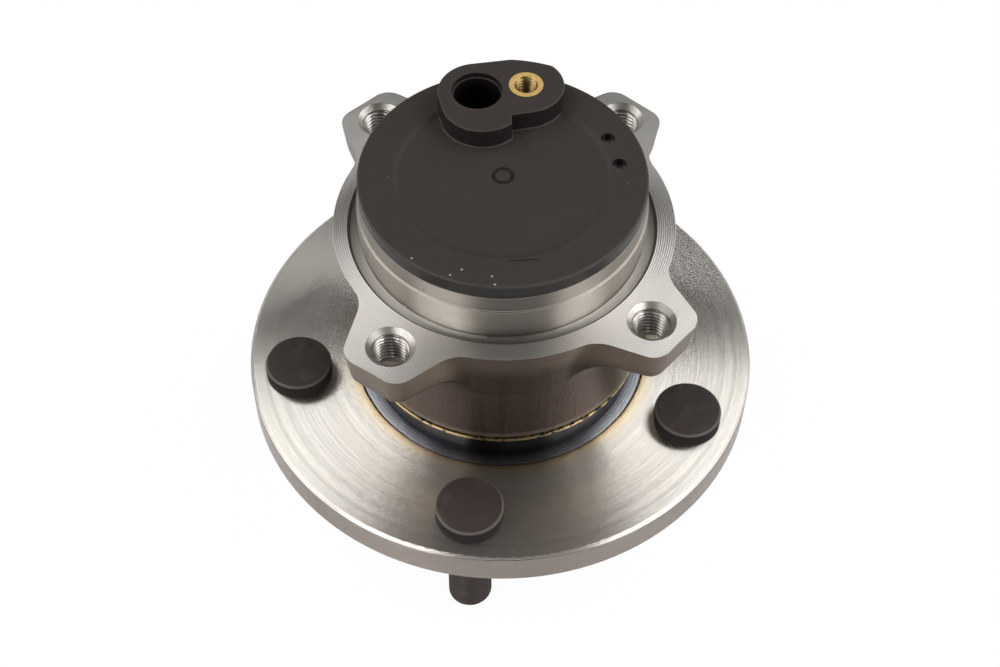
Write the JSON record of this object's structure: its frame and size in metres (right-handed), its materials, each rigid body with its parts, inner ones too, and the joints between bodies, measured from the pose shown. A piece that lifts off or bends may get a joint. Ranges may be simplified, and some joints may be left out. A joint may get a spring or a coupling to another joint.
{
  "type": "wheel hub bearing unit",
  "caption": "Flanged wheel hub unit with two rows of balls, wheel studs, a lugged knuckle flange, a seal and a capped end with a speed sensor boss.",
  "frame": {"origin": "centre of the face that the wheel bolts against, on the axle", "axes": "+Z along the axle from the wheel towards the knuckle; +X along the mirror line of the knuckle flange's four holes, towards the pair set closer together"},
  "size_m": [0.1412, 0.1412, 0.1158],
  "materials": {
    "ring_steel": "forged skin with turned faces",
    "hub_steel": "turned bare steel",
    "bearing_steel": "ground and polished steel",
    "stud_steel": "dark phosphated steel",
    "slinger_steel": "pressed sheet steel",
    "pressed_steel": "pressed sheet steel",
    "cap_plastic": "moulded, matt",
    "insert_brass": "turned brass",
    "seal_rubber": "moulded rubber",
    "encoder_rubber": "magnet-filled rubber",
    "cage_plastic": "moulded glass-filled nylon"
  },
  "bodies": {
    "knuckle_side": {"outer_ring": "ring_steel", "seal_case": "pressed_steel", "seal_rubber": "seal_rubber", "sensor_cap": "cap_plastic", "cap_core": "pressed_steel", "cap_seal": "seal_rubber", "screw_insert": "insert_brass"},
    "hub": {"hub": "hub_steel", "wheel_stud_1": "stud_steel", "wheel_stud_2": "stud_steel", "wheel_stud_3": "stud_steel", "wheel_stud_4": "stud_steel", "wheel_stud_5": "stud_steel", "inner_ring": "bearing_steel", "seal_slinger": "slinger_steel", "encoder_carrier": "pressed_steel", "encoder_magnet": "encoder_rubber"},
    "outboard_cage": {"outboard_cage": "cage_plastic", "outboard_ball_1": "bearing_steel", "outboard_ball_2": "bearing_steel", "outboard_ball_3": "bearing_steel", "outboard_ball_4": "bearing_steel", "outboard_ball_5": "bearing_steel", "outboard_ball_6": "bearing_steel", "outboard_ball_7": "bearing_steel", "outboard_ball_8": "bearing_steel", "outboard_ball_9": "bearing_steel", "outboard_ball_10": "bearing_steel", "outboard_ball_11": "bearing_steel", "outboard_ball_12": "bearing_steel"},
    "inboard_cage": {"inboard_cage": "cage_plastic", "inboard_ball_1": "bearing_steel", "inboard_ball_2": "bearing_steel", "inboard_ball_3": "bearing_steel", "inboard_ball_4": "bearing_steel", "inboard_ball_5": "bearing_steel", "inboard_ball_6": "bearing_steel", "inboard_ball_7": "bearing_steel", "inboard_ball_8": "bearing_steel", "inboard_ball_9": "bearing_steel", "inboard_ball_10": "bearing_steel", "inboard_ball_11": "bearing_steel", "inboard_ball_12": "bearing_steel"}
  },
  "joints": [
    {"name": "hub_spin", "type": "hinge", "parent": "knuckle_side", "child": "hub", "pos_m": [0, 0, 0], "axis": [0, 0, 1], "continuous": true},
    {"name": "outboard_cage_spin", "type": "hinge", "parent": "knuckle_side", "child": "outboard_cage", "pos_m": [0, 0, 0.03576], "axis": [0, 0, 1], "continuous": true},
    {"name": "inboard_cage_spin", "type": "hinge", "parent": "knuckle_side", "child": "inboard_cage", "pos_m": [0, 0, 0.06176], "axis": [0, 0, 1], "continuous": true}
  ],
  "couplings": [
    {"joint": "outboard_cage_spin", "follows": "hub_spin", "ratio": 0.4165},
    {"joint": "inboard_cage_spin", "follows": "hub_spin", "ratio": 0.4165}
  ]
}
